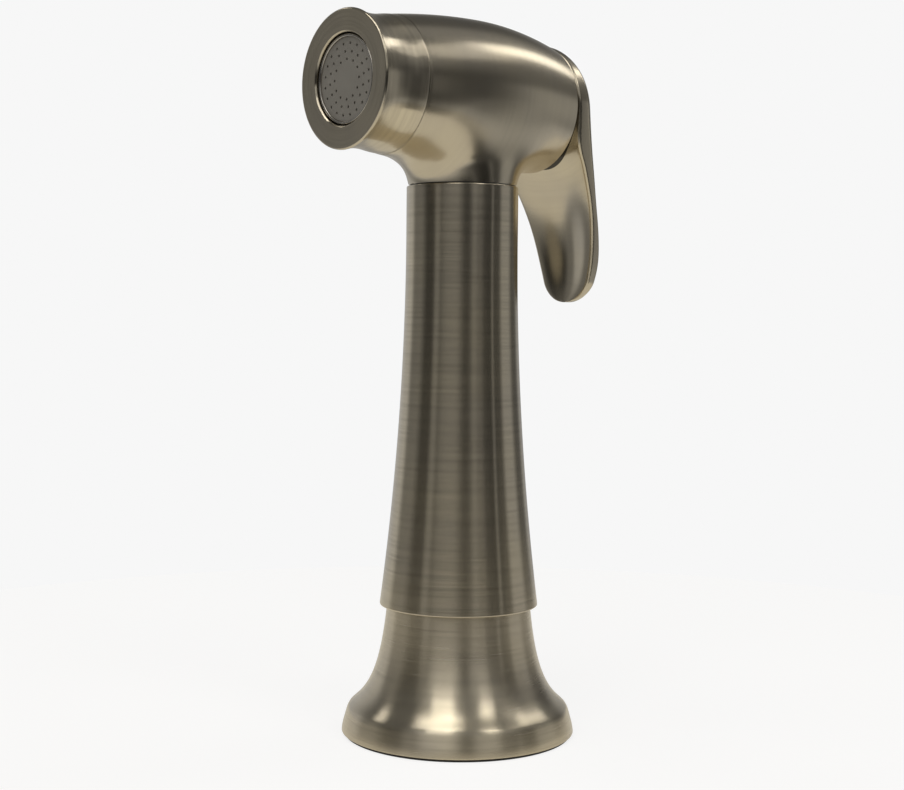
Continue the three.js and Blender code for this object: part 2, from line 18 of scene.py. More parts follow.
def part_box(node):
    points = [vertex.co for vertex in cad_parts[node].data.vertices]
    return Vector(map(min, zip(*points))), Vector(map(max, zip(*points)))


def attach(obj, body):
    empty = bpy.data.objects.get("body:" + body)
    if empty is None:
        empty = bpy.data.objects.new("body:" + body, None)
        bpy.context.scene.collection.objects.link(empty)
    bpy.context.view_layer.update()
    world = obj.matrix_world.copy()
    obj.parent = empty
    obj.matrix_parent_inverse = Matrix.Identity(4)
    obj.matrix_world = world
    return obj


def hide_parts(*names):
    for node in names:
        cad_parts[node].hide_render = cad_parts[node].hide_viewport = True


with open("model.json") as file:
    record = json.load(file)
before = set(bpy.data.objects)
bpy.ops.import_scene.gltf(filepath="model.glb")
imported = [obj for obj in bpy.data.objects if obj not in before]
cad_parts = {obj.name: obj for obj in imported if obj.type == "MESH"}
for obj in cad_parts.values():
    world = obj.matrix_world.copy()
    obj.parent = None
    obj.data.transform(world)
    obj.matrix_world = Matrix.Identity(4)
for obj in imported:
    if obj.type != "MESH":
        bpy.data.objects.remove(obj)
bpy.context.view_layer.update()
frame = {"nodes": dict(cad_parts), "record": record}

MM = 0.001


def middle(node):
    """The middle of a CAD node's box, in millimetres."""
    low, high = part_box(node)
    return (low + high) / 2 / MM


# ---------------------------------------------------------------- driving dimensions, in millimetres

AXIS_Y = middle("holder_flange").y  # the handle's axis
HEAD_Z = middle("nose_ring").z  # the spray head's axis
VALVE_Z = middle("valve_seat").z
NECK_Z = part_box("handle_sleeve")[1].z / MM
SKIRT_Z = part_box("handle_sleeve")[0].z / MM
HEAD_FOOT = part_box("head_body")[0].z / MM
COLLAR_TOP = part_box("holder_flange")[1].z / MM
FLANGE_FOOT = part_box("holder_flange")[0].z / MM
GASKET_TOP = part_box("holder_gasket")[1].z / MM
PIN_S = AXIS_Y - middle("pivot_pin").y
PIN_Y = middle("pivot_pin").z - HEAD_Z

FOOT_R = 26.88
GRIP_R = 12.8
SKIRT_R = 18.3
FLARE_TOP = 115.0
SLEEVE_WALL = 1.3
TUBE_R = 6.5

NOSE_SEAM = 22.7
FACE = 34.6
LIP_R = 15.1
BACK = -22.1
BARREL_R = 16.85
SEAM_R = 15.2
BACK_R = 15.0
BACK_DROP = 1.4
NECK_R = 12.5
BLEND = 4.0  # how broadly the neck flows into the barrel
RIM = 0.3  # the radius that breaks the head's cut edges
FOOT_RIM = 0.55  # and the rounder one at the neck's foot

CAP_GAP = 0.2
POCKET_FLOOR = -25.9
POCKET_R = 10.5
WEDGE_SLOPE = math.tan(math.radians(5.5))
TIP_TOP = -42.0  # where the lever's end starts to round off
LEVER_TIP = -46.9

# ---------------------------------------------------------------- places

UPRIGHT = Matrix.Translation((0, AXIS_Y, 0))
TO_NOSE = Matrix(((1, 0, 0, 0), (0, 0, -1, 0), (0, 1, 0, 0), (0, 0, 0, 1)))
NOSE = Matrix.Translation((0, AXIS_Y, HEAD_Z)) @ TO_NOSE
VALVE = Matrix.Translation((0, AXIS_Y, VALVE_Z)) @ TO_NOSE


CAMERA_AZIMUTH = -41.5  # where the camera stands, in degrees from +X
FLOOR_R = 0.24  # metres
BACKDROP = 0.93  # brightness of the plain backdrop

# ---------------------------------------------------------------- camera


def make_camera():
    """The photograph's view: from a little in front of the spray's right side, just above the middle."""
    distance, eye, azimuth = 0.3616, 0.0967, math.radians(CAMERA_AZIMUTH)
    yaw, pitch, roll = math.radians(0.31), math.radians(-2.9), math.radians(0.55)
    camera = bpy.data.objects.new("camera", bpy.data.cameras.new("camera"))
    camera.data.lens = 62.5
    camera.location = (
        distance * math.cos(azimuth),
        distance * math.sin(azimuth) + AXIS_Y * MM,
        eye,
    )
    heading = azimuth + math.pi + yaw
    forward = Vector((math.cos(heading), math.sin(heading), math.tan(pitch)))
    camera.rotation_mode = "QUATERNION"
    facing = forward.to_track_quat("-Z", "Y")
    camera.rotation_quaternion = facing @ Matrix.Rotation(roll, 3, "Z").to_quaternion()
    camera.data.clip_start = 0.01
    camera.data.clip_end = 20
    bpy.context.scene.collection.objects.link(camera)
    bpy.context.scene.camera = camera


make_camera()

# ---------------------------------------------------------------- curves


def spline(pairs):
    """A natural cubic spline through (place, value) pairs whose places rise."""
    x, y = np.array(sorted(pairs), float).T
    h = np.diff(x)
    n = len(x)
    a = np.eye(n)
    b = np.zeros(n)
    for i in range(1, n - 1):
        a[i, i - 1 : i + 2] = h[i - 1], 2 * (h[i - 1] + h[i]), h[i]
        b[i] = 6 * ((y[i + 1] - y[i]) / h[i] - (y[i] - y[i - 1]) / h[i - 1])
    bend = np.linalg.solve(a, b)

    def at(place):
        place = np.clip(place, x[0], x[-1])
        k = np.clip(np.searchsorted(x, place) - 1, 0, n - 2)
        t, u = place - x[k], x[k + 1] - place
        curved = (bend[k] * u**3 + bend[k + 1] * t**3) / (6 * h[k])
        straight = (y[k] / h[k] - bend[k] * h[k] / 6) * u + (y[k + 1] / h[k] - bend[k + 1] * h[k] / 6) * t
        return curved + straight

    return at


def smooth_through(points, count):
    """A smooth curve through a few (radius, height) points, as count points."""
    points = np.array(points, float)
    reach = np.concatenate([[0], np.cumsum(np.hypot(*np.diff(points, axis=0).T))])
    radius, height = spline(zip(reach, points[:, 0])), spline(zip(reach, points[:, 1]))
    return [(float(radius(t)), float(height(t))) for t in np.linspace(0, reach[-1], count)]


def arc(r, z, radius, start, end, count):
    """Points of an arc about (r, z), from one angle to another in degrees."""
    return [
        (r + radius * math.cos(a), z + radius * math.sin(a))
        for a in np.radians(np.linspace(start, end, count))
    ]


def softened(outline, radius, closed=True, steps=4):
    """The outline with each corner that turns more than 15 degrees rounded to the radius, or as near as fits."""
    points = [np.array(p, float) for p in outline]
    made = []
    for i, point in enumerate(points):
        before, after = points[i - 1], points[(i + 1) % len(points)]
        if not closed and i in (0, len(points) - 1):
            made.append(tuple(point))
            continue
        into, out = point - before, after - point
        into_length, out_length = np.hypot(*into), np.hypot(*out)
        into, out = into / into_length, out / out_length
        turn = math.acos(float(np.clip(into @ out, -1, 1)))
        if turn < math.radians(15):
            made.append(tuple(point))
            continue
        reach = min(radius * math.tan(turn / 2), 0.42 * into_length, 0.42 * out_length)
        start, end = point - into * reach, point + out * reach
        for t in np.linspace(0, 1, steps + 1):
            bend = (1 - t) ** 2 * start + 2 * t * (1 - t) * point + t * t * end
            made.append((float(bend[0]), float(bend[1])))
    return made


# ---------------------------------------------------------------- meshes


def new_solid(name, vertices, faces, place):
    """A mesh with its place in its vertices, as the CAD nodes have theirs."""
    mesh = bpy.data.meshes.new(name)
    mesh.from_pydata([tuple(v) for v in vertices], [], faces)
    mesh.transform(Matrix.Scale(MM, 4) @ place)
    work = bmesh.new()
    work.from_mesh(mesh)
    bmesh.ops.recalc_face_normals(work, faces=work.faces)
    work.to_mesh(mesh)
    work.free()
    piece = bpy.data.objects.new(name, mesh)
    bpy.context.scene.collection.objects.link(piece)
    return piece


def finished(piece, node, body, material):
    """Makes a mesh the smooth-shaded piece that stands for a CAD node."""
    piece.data.shade_smooth()
    piece.data.materials.append(material)
    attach(piece, body)
    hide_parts(node)
    return piece


def combined(piece, tool, operation):
    """Joins a solid to the piece or cuts the piece by it, and removes the tool."""
    boolean = piece.modifiers.new("boolean", "BOOLEAN")
    boolean.operation = operation
    boolean.object = tool
    made = bpy.data.meshes.new_from_object(piece.evaluated_get(bpy.context.evaluated_depsgraph_get()))
    piece.modifiers.clear()
    piece.data = made
    bpy.data.objects.remove(tool)
    return piece


def keep_flats_flat(piece, sharp_degrees=40):
    """Weighs each normal by face size, so that flats and cylinders stay true beside a rounded edge."""
    piece.data.set_sharp_from_angle(angle=math.radians(sharp_degrees))
    weighted = piece.modifiers.new("weighted_normals", "WEIGHTED_NORMAL")
    weighted.keep_sharp = True
    return piece


def strips(rings, around, closed):
    """Quads between rings of points that lie one after another, joined end to start when closed."""
    faces = []
    for k in range(rings if closed else rings - 1):
        low, high = k * around, (k + 1) % rings * around
        for i in range(around):
            j = (i + 1) % around
            faces.append((low + i, low + j, high + j, high + i))
    return faces


def hexagon_reach(across, angle):
    """How far a hexagon's edge lies from its middle, in one direction."""
    return across / 2 / math.cos((angle + math.pi / 6) % (math.pi / 3) - math.pi / 6)


def turned_shape(outline, segments, edge, hexagon=None):
    """An outline turned about Z, as vertices and faces. One that ends on the axis is closed by a fan there.

    A hexagon, as (across flats, low, high), trims what stands out past its flats between two heights.
    """
    outline = softened(outline, edge, closed=outline[0][0] > 0)
    on_axis = outline[0][0] == 0
    rings = [p for p in outline if p[0] > 0]
    angles = np.linspace(0, 2 * math.pi, segments, endpoint=False)
    across, low, high = hexagon or (0, 0, 0)
    vertices = []
    for r, z in rings:
        for a in angles:
            reach = min(r, hexagon_reach(across, a)) if low < z < high else r
            vertices.append((reach * math.cos(a), reach * math.sin(a), z))
    faces = strips(len(rings), segments, closed=not on_axis)
    if on_axis:
        first, last = len(vertices), len(vertices) + 1
        vertices += [(0, 0, outline[0][1]), (0, 0, outline[-1][1])]
        end = (len(rings) - 1) * segments
        for i in range(segments):
            j = (i + 1) % segments
            faces += [(first, j, i), (last, end + i, end + j)]
    return vertices, faces


def turned(node, outline, place, body, material, segments=128, edge=0.12, hexagon=None):
    """A turned piece that stands for a CAD node."""
    vertices, faces = turned_shape(outline, segments, edge, hexagon)
    piece = new_solid(node + "_fine", vertices, faces, place)
    return keep_flats_flat(finished(piece, node, body, material))


# ---------------------------------------------------------------- material nodes


class Nodes:
    """A short way to write a node tree."""

    def __init__(self, tree):
        self.tree = tree

    def add(self, kind, inputs=(), **settings):
        node = self.tree.nodes.new(kind)
        for name, value in settings.items():
            setattr(node, name, value)
        for key, value in dict(inputs).items():
            if isinstance(value, bpy.types.NodeSocket):
                self.tree.links.new(value, node.inputs[key])
            else:
                node.inputs[key].default_value = value
        return node

    def math(self, operation, a, b=0.0, clamp=False):
        return self.add("ShaderNodeMath", {0: a, 1: b}, operation=operation, use_clamp=clamp).outputs[0]

    def vector(self, operation, a, b=(0, 0, 0)):
        return self.add("ShaderNodeVectorMath", {0: a, 1: b}, operation=operation).outputs["Vector"]

    def noise(self, vector, scale, detail=3.0, roughness=0.5):
        inputs = {"Vector": vector, "Scale": scale, "Detail": detail, "Roughness": roughness}
        return self.add("ShaderNodeTexNoise", inputs).outputs["Fac"]

    def ramp(self, value, stops):
        node = self.add("ShaderNodeValToRGB", {"Fac": value})
        elements = node.color_ramp.elements
        while len(elements) < len(stops):
            elements.new(0.5)
        for element, (place, colour) in zip(elements, stops):
            element.position = place
            element.color = (*colour, 1) if isinstance(colour, tuple) else (colour, colour, colour, 1)
        return node.outputs["Color"]

    def mix(self, share, a, b, blend="MIX"):
        node = self.add("ShaderNodeMix", data_type="RGBA", blend_type=blend)
        for socket, value in ((0, share), (6, a), (7, b)):
            if isinstance(value, bpy.types.NodeSocket):
                self.tree.links.new(value, node.inputs[socket])
            else:
                node.inputs[socket].default_value = value if socket == 0 else (*value, 1)
        return node.outputs[2]


def new_material(name):
    material = bpy.data.materials.new(name)
    material.use_nodes = True
    nodes = Nodes(material.node_tree)
    shader = material.node_tree.nodes["Principled BSDF"]
    return material, nodes, shader


def turned_places(nodes, place):
    """How far along and how far out a point is from a frame's axis, and its direction round that axis."""
    centre = place.translation * MM
    spot = nodes.add("ShaderNodeTexCoord").outputs["Object"]
    spot = nodes.vector("SUBTRACT", spot, tuple(centre))
    split = nodes.add("ShaderNodeSeparateXYZ", {0: spot})
    upright = place == UPRIGHT
    along = split.outputs["Z" if upright else "Y"]
    across = split.outputs["Y" if upright else "Z"]
    flat = nodes.add("ShaderNodeCombineXYZ", {0: split.outputs["X"], 1: across}).outputs[0]
    out = nodes.add("ShaderNodeVectorMath", {0: flat}, operation="LENGTH").outputs["Value"]
    return along, out, nodes.vector("NORMALIZE", flat)


def brush_lines(nodes, along, out, direction, per_metre, round_scale):
    """Fine lines that run round an axis, on its cylinders and its flat faces alike."""
    step = nodes.math("MULTIPLY", nodes.math("ADD", along, out), per_metre)
    lift = nodes.add("ShaderNodeCombineXYZ", {2: step}).outputs[0]
    spread = nodes.add("ShaderNodeVectorMath", {0: direction, 3: round_scale}, operation="SCALE").outputs["Vector"]
    return nodes.noise(nodes.vector("ADD", spread, lift), 1.0, detail=4.0, roughness=0.6)


def brushed_nickel(name, place, shine=0.3, grain=1.0, anisotropy=0.9):
    """Nickel plate, brushed round an axis: fine lines, a few deeper ones, soft patches and brighter worn edges."""
    material, nodes, shader = new_material(name)
    along, out, direction = turned_places(nodes, place)
    fine = brush_lines(nodes, along, out, direction, 4500, 0.9)
    broad = brush_lines(nodes, along, out, direction, 1600, 0.6)
    spot = nodes.add("ShaderNodeTexCoord").outputs["Object"]
    patches = nodes.noise(spot, 60, detail=2.0)
    edge = nodes.add("ShaderNodeNewGeometry").outputs["Pointiness"]
    worn = nodes.ramp(edge, [(0.53, 0.0), (0.60, 1.0)])

    warm, cool = (0.65, 0.58, 0.44), (0.59, 0.53, 0.42)
    tint = nodes.mix(nodes.ramp(patches, [(0.35, 0.0), (0.65, 1.0)]), cool, warm)
    streaks = nodes.ramp(broad, [(0.30, 0.77), (0.50, 1.0), (0.72, 1.15)])
    colour = nodes.mix(grain * 0.5, tint, streaks, "MULTIPLY")
    colour = nodes.mix(nodes.math("MULTIPLY", worn, 0.5), colour, (0.80, 0.74, 0.63))
    nodes.tree.links.new(colour, shader.inputs["Base Color"])

    rough = nodes.math("MULTIPLY_ADD", fine, 0.08 * grain)
    rough.node.inputs[2].default_value = shine - 0.04 * grain
    rough = nodes.math("SUBTRACT", rough, nodes.math("MULTIPLY", worn, 0.08), clamp=True)
    nodes.tree.links.new(rough, shader.inputs["Roughness"])

    height = nodes.math("ADD", fine, nodes.math("MULTIPLY", broad, 0.6))
    bump = nodes.add("ShaderNodeBump", {"Strength": 0.05 * grain, "Distance": 0.00004, "Height": height})
    nodes.tree.links.new(bump.outputs["Normal"], shader.inputs["Normal"])
    shader.inputs["Metallic"].default_value = 1.0
    shader.inputs["Anisotropic"].default_value = anisotropy
    shader.inputs["Anisotropic Rotation"].default_value = 0.25
    axis = "Z" if place == UPRIGHT else "Y"
    tangent = nodes.add("ShaderNodeTangent", direction_type="RADIAL", axis=axis)
    nodes.tree.links.new(tangent.outputs["Tangent"], shader.inputs["Tangent"])
    return material


def paint_gap_shade(material, place, reach):
    """Colours the faces towards the spray's front within reach of an axis near-black, as painted shade: the shade in
    the narrow gap where the cap sits behind the head.
    """
    nodes = Nodes(material.node_tree)
    colour = material.node_tree.nodes["Principled BSDF"].inputs["Base Color"]
    _, out, _ = turned_places(nodes, place)
    normal = nodes.add("ShaderNodeTexCoord").outputs["Normal"]
    backwards = nodes.add("ShaderNodeSeparateXYZ", {0: normal}).outputs["Y"]
    faces_head = nodes.math("LESS_THAN", backwards, 0.2)
    painted_gap_shade = nodes.math("MULTIPLY", faces_head, nodes.math("LESS_THAN", out, reach * MM))
    plated = colour.links[0].from_socket
    # painted shade: a near-black mixed over the plated colour where the mask holds
    nodes.tree.links.new(nodes.mix(painted_gap_shade, plated, (0.07, 0.065, 0.055)), colour)
    return material


def plain_metal(name, colour, shine):
    """A machined metal with light turning marks and small changes of tone."""
    material, nodes, shader = new_material(name)
    spot = nodes.add("ShaderNodeTexCoord").outputs["Object"]
    patches = nodes.noise(spot, 400)
    darker = tuple(c * 0.82 for c in colour)
    nodes.tree.links.new(nodes.mix(patches, darker, colour), shader.inputs["Base Color"])
    rough = nodes.math("MULTIPLY_ADD", nodes.noise(spot, 2500), 0.2)
    rough.node.inputs[2].default_value = shine - 0.1
    nodes.tree.links.new(rough, shader.inputs["Roughness"])
    shader.inputs["Metallic"].default_value = 1.0
    return material


def moulded(name, colour, shine, bump_height=0.00001):
    """A moulded plastic or rubber with a fine even grain."""
    material, nodes, shader = new_material(name)
    spot = nodes.add("ShaderNodeTexCoord").outputs["Object"]
    patches = nodes.noise(spot, 250)
    darker = tuple(c * 0.8 for c in colour)
    nodes.tree.links.new(nodes.mix(patches, darker, colour), shader.inputs["Base Color"])
    grain = nodes.noise(spot, 6000, detail=2.0)
    rough = nodes.math("MULTIPLY_ADD", grain, 0.16)
    rough.node.inputs[2].default_value = shine - 0.08
    nodes.tree.links.new(rough, shader.inputs["Roughness"])
    bump = nodes.add("ShaderNodeBump", {"Strength": 0.3, "Distance": bump_height, "Height": grain})
    nodes.tree.links.new(bump.outputs["Normal"], shader.inputs["Normal"])
    return material


UPRIGHT_NICKEL = brushed_nickel("brushed_nickel_upright", UPRIGHT, shine=0.26)
HANDLE_NICKEL = brushed_nickel("brushed_nickel_handle", UPRIGHT, shine=0.23, anisotropy=0.87)
NOSE_NICKEL = brushed_nickel("brushed_nickel_nose", NOSE, shine=0.22)
HEAD_NICKEL = brushed_nickel("brushed_nickel_head", NOSE, shine=0.23, grain=0.3, anisotropy=0.0)
# The lever's cap face and pocket near the head are painted dark as shade, for the gap between cap and head.
LEVER_NICKEL = paint_gap_shade(
    brushed_nickel("brushed_nickel_lever", NOSE, shine=0.23, grain=0.3, anisotropy=0.0),
    NOSE @ Matrix.Translation((0, -BACK_DROP, 0)),
    BACK_R - 1.1,
)
# A dark, rough metal for the head's bores and recesses: painted shade for the hollows inside the head.
SHADED_INSIDE = plain_metal("painted_shade_inside", (0.13, 0.12, 0.10), 0.55)
BRASS = plain_metal("machined_brass", (0.62, 0.44, 0.20), 0.3)
STAINLESS = plain_metal("bright_stainless", (0.52, 0.49, 0.44), 0.22)
RUBBER = moulded("black_rubber", (0.02, 0.02, 0.02), 0.7)
BLACK_PLASTIC = moulded("black_nylon", (0.025, 0.025, 0.028), 0.45)
PALE_PLASTIC = moulded("pale_acetal", (0.62, 0.60, 0.55), 0.4)
FACE_PLASTIC = moulded("face_plastic", (0.36, 0.34, 0.30), 0.42)

SLOT_MATERIALS = {
    "brushed_nickel": UPRIGHT_NICKEL,
    "bare_brass": BRASS,
    "stainless": STAINLESS,
    "black_rubber": RUBBER,
    "black_plastic": BLACK_PLASTIC,
    "pale_plastic": PALE_PLASTIC,
    "face_plastic": FACE_PLASTIC,
}


def finish_cad_nodes():
    """The CAD nodes that still show take the material of their slot."""
    slots = {row["node"]: row["material_slot"] for row in frame["record"]["subparts"]}
    for name, node in frame["nodes"].items():
        node.data.materials.clear()
        node.data.materials.append(SLOT_MATERIALS[slots[name]])


# ---------------------------------------------------------------- deck holder


def holder():
    flare = [(13.5 + 96.8 / (z + 1.48), z) for z in np.linspace(30, 7.4, 40)]
    rim = [(25.1, 6.75), (25.45, 6.2), (25.95, 4.8), (26.4, 3.2), (26.75, 1.7), (FOOT_R, FLANGE_FOOT + 0.1)]
    inside = [(24.0, FLANGE_FOOT), (22.6, 4.2), (19.6, 7.4), (16.9, 12), (15, 20)]
    outline = [(15.0, COLLAR_TOP), (16.1, COLLAR_TOP), *flare, *smooth_through(rim, 16), *inside]
    turned("holder_flange", outline, UPRIGHT, "holder", UPRIGHT_NICKEL, segments=192)
    gasket = [(20.5, 0.02), (26.25, 0.02), (26.25, GASKET_TOP), (20.5, GASKET_TOP)]
    turned("holder_gasket", gasket, UPRIGHT, "holder", RUBBER, segments=192, edge=0.2)
    guide_lip = [(14.8, 33.15), (15.7, 33.15), (15.7, 34.8), (13.2, 34.8), (11.4, 31.8)]
    guide = [(11.4, 3), (13.3, 3), (13.3, 14), (14.8, 16), *guide_lip]
    turned("holder_guide", guide, UPRIGHT, "holder", PALE_PLASTIC, edge=0.25)


# ---------------------------------------------------------------- swivel inlet and tail


def swivel_inlet():
    """What shows under the handle when the spray is lifted out of its holder."""
    thread = [(5.8, 8.8)]
    for i in range(4):
        thread += [(5.3, 9.55 + 1.5 * i), (5.8, 10.3 + 1.5 * i)]
    hexagon = [(5.0, 15.4), (6.3, 15.4), (6.95, 15.8), (6.95, 17.0), (6.3, 17.4), (5.0, 17.4)]
    spigot = [(4.25, 21.9), (4.25, 24.4), (3.5, 24.4), (3.5, 25.6), (4.25, 25.6), (4.25, 30.7), (3.9, 31.1)]
    outline = [(3.0, 10), (4.3, 9.4), (4.3, 8.2), (5.3, 8.2), *thread, *hexagon]
    outline += [(5.0, 20.3), (6.1, 20.3), (6.1, 21.9), *spigot, (3.0, 31.1)]
    trim = (12, 15.3, 17.5)
    turned("inlet_tailpiece", outline, UPRIGHT, "inlet", BRASS, 144, 0.15, trim)
    washer = [(5.25, 19.7), (6.1, 19.7), (6.1, 20.2), (5.25, 20.2)]
    turned("swivel_washer", washer, UPRIGHT, "inlet", PALE_PLASTIC)
    nut = [(5.2, 18.2), (8.4, 18.2), (9.8, 19.2), (9.8, 27.0), (9.3, 27.6), (6.7, 27.6), (6.7, 19.6), (5.2, 19.6)]
    turned("union_nut", nut, UPRIGHT, "handset", BRASS, 144, 0.1, (17, 18.3, 27.55))


def tail():
    """The water tube and the nylon guide that centres the handle in the holder."""
    clip_groove = [(6.5, 28.4), (5.9, 28.4), (5.9, 29.3), (6.5, 29.3)]
    seal_groove = [(6.5, 130.9), (5.9, 130.9), (5.9, 132.1), (6.5, 132.1)]
    tube = [(4.5, 22.2), (6.5, 22.2), *clip_groove, *seal_groove, (6.5, 133.4), (6.1, 133.8), (4.5, 133.8)]
    turned("waterway_tube", tube, UPRIGHT, "handset", BRASS)
    foot = [(6.7, 29.6), (10.9, 29.6), (10.9, 34.9), (15.4, 34.9), (15.4, 38.4)]
    cup = [(14.2, 38.4), (14.2, 36.7), (9.4, 36.7), (9.4, 31.2), (8.7, 31.2), (8.7, 38.4), (6.7, 38.4)]
    turned("tail_guide", foot + cup, UPRIGHT, "handset", BLACK_PLASTIC, edge=0.25)


# ---------------------------------------------------------------- handle


def sleeve_radius(z):
    return GRIP_R + (SKIRT_R - GRIP_R) * (max(0.0, FLARE_TOP - z) / (FLARE_TOP - SKIRT_Z)) ** 2


def handle():
    heights = np.linspace(FLARE_TOP, SKIRT_Z + 0.1, 48)
    outer = [(TUBE_R + 0.4, NECK_Z), (GRIP_R, NECK_Z)]
    outer += [(sleeve_radius(z), z) for z in heights[:-1]]
    outer += [(SKIRT_R, SKIRT_Z)]
    inner = [(sleeve_radius(z) - SLEEVE_WALL, z) for z in heights[::-1]]
    inner[0] = (SKIRT_R - SLEEVE_WALL, SKIRT_Z)
    outline = outer + inner + [(GRIP_R - SLEEVE_WALL, 119), (TUBE_R + 0.4, 119)]
    turned("handle_sleeve", outline, UPRIGHT, "handset", HANDLE_NICKEL, 192, 0.3)
    low, high = NECK_Z + 0.05, HEAD_FOOT - 0.05
    washer = [(TUBE_R + 0.4, low), (12.1, low), (12.1, high), (TUBE_R + 0.4, high)]
    turned("neck_washer", washer, UPRIGHT, "handset", BLACK_PLASTIC, segments=160, edge=0.05)


# ---------------------------------------------------------------- spray head


def barrel_radius(s):
    to_seam = (BARREL_R - SEAM_R) * (s / NOSE_SEAM) ** 2
    to_back = (BARREL_R - BACK_R) * (s / BACK) ** 2
    return BARREL_R - np.where(s > 0, to_seam, to_back)


# How far the neck reaches to the front and back, by height over its foot.
NECK_ALONG = spline(
    [
        (-6, 12.4), (0, 12.5), (1.1, 12.9), (2.5, 13.6), (4.1, 14.6), (5.5, 15.9), (6.5, 17.0), (9, 19.3),
        (12, 21.2), (15, 22.3), (21, 23.0),
    ]
)


def head_field(p):
    """Below 0 inside the head, above 0 outside it, for points (across, up, towards the face)."""
    x, y, s = p.T
    barrel = np.hypot(x, y + BACK_DROP * np.where(s < 0, (s / BACK) ** 2, 0)) - barrel_radius(s)
    up = y - (HEAD_FOOT - HEAD_Z)
    along = NECK_ALONG(up)
    across = NECK_R + 0.12 * (along - NECK_R)
    neck = (np.sqrt((x / across) ** 2 + (s / along) ** 2) - 1) * across
    neck = neck + 0.7 * (np.hypot(y + 3, 2) + y + 3)  # the neck fades out above the head's lower half
    share = np.clip(BLEND - np.abs(barrel - neck), 0, None) / BLEND
    return np.minimum(barrel, neck) - share * share * BLEND / 4


def head_slope(p):
    """The direction in which head_field rises fastest."""
    step = 1e-3
    slope = np.empty_like(p)
    for axis in range(3):
        nudge = np.zeros(3)
        nudge[axis] = step
        slope[:, axis] = (head_field(p + nudge) - head_field(p - nudge)) / (2 * step)
    return slope


def settle(p):
    """Moves each point straight on to the head's surface."""
    for _ in range(4):
        slope = head_slope(p)
        p = p - slope * (head_field(p) / (slope**2).sum(axis=1))[:, None]
    return p


def rough_head():
    """A mesh near the head's surface, with its three ends carried past where they are cut."""
    past = 3.0
    angles = np.linspace(0, 2 * math.pi, 96, endpoint=False)
    circle = np.stack([np.cos(angles), np.sin(angles)], axis=1)
    rings = []
    for s in np.linspace(BACK - past, NOSE_SEAM + past, 40):
        drop = BACK_DROP * (s / BACK) ** 2 if s < 0 else 0
        rings.append([(c * barrel_radius(s), d * barrel_radius(s) - drop, s) for c, d in circle])
    barrel = (rings, len(angles))
    columns = []
    foot = HEAD_FOOT - HEAD_Z
    for y in np.linspace(foot - past, -8, 24):
        along = NECK_ALONG(y - foot)
        across = NECK_R + 0.12 * (along - NECK_R)
        columns.append([(c * across, y, d * min(along, 16)) for c, d in circle])
    neck = (columns, len(angles))
    vertices, faces = [], []
    for rings, around in (barrel, neck):
        base = len(vertices)
        vertices += [p for ring in rings for p in ring]
        faces += [tuple(base + i for i in quad) for quad in strips(len(rings), around, closed=False)]
        faces.append(tuple(range(base, base + around)))
        faces.append(tuple(range(len(vertices) - around, len(vertices))))
    mesh = bpy.data.meshes.new("rough_head")
    mesh.from_pydata(vertices, [], faces)
    rough = bpy.data.objects.new("rough_head", mesh)
    bpy.context.scene.collection.objects.link(rough)
    work = bmesh.new()
    work.from_mesh(mesh)
    bmesh.ops.recalc_face_normals(work, faces=work.faces)
    work.to_mesh(mesh)
    work.free()
    remesh = rough.modifiers.new("remesh", "REMESH")
    remesh.mode = "VOXEL"
    remesh.voxel_size = 0.6
    made = bpy.data.meshes.new_from_object(rough.evaluated_get(bpy.context.evaluated_depsgraph_get()))
    bpy.data.objects.remove(rough)
    return made


def head_skin():
    """The head's outer surface as a bmesh, cut flat at its seams, and open there."""
    work = bmesh.new()
    work.from_mesh(rough_head())
    work.verts.ensure_lookup_table()
    points = np.array([v.co for v in work.verts])
    pairs = np.array([[v.index for v in e.verts] for e in work.edges])
    neighbours = np.zeros(len(points))
    np.add.at(neighbours, pairs.ravel(), 1)
    for _ in range(8):
        total = np.zeros_like(points)
        np.add.at(total, pairs[:, 0], points[pairs[:, 1]])
        np.add.at(total, pairs[:, 1], points[pairs[:, 0]])
        shift = total / neighbours[:, None] - points
        normal = head_slope(points)
        normal /= np.linalg.norm(normal, axis=1)[:, None]
        shift -= normal * (shift * normal).sum(axis=1)[:, None]
        points = settle(points + 0.6 * shift)
    for vertex, point in zip(work.verts, points):
        vertex.co = point
    for spot, normal in (
        ((0, 0, NOSE_SEAM - RIM), (0, 0, 1)),
        ((0, 0, BACK + RIM), (0, 0, -1)),
        ((0, HEAD_FOOT - HEAD_Z + FOOT_RIM, 0), (0, -1, 0)),
    ):
        geometry = work.verts[:] + work.edges[:] + work.faces[:]
        bmesh.ops.bisect_plane(work, geom=geometry, plane_co=spot, plane_no=normal, clear_outer=True)
    return work


def rim_loops(work):
    """The open edges of the skin as loops of vertices in order."""
    edges = {e for e in work.edges if e.is_boundary}
    loops = []
    while edges:
        edge = edges.pop()
        loop = [edge.verts[0], edge.verts[1]]
        while loop[-1] != loop[0]:
            edge = next(e for e in loop[-1].link_edges if e in edges)
            edges.remove(edge)
            loop.append(edge.other_vert(loop[-1]))
        loops.append(loop[:-1])
    return loops


def stepped_ring(work, ring, places, inside=False):
    """A new ring of vertices at the places, joined to the last one by quads, which take the dark painted-shade
    material when inside.
    """
    made = [work.verts.new(p) for p in places]
    for i in range(len(ring)):
        j = (i + 1) % len(ring)
        quad = work.faces.new((ring[i], ring[j], made[j], made[i]))
        quad.material_index = int(inside)
    return made


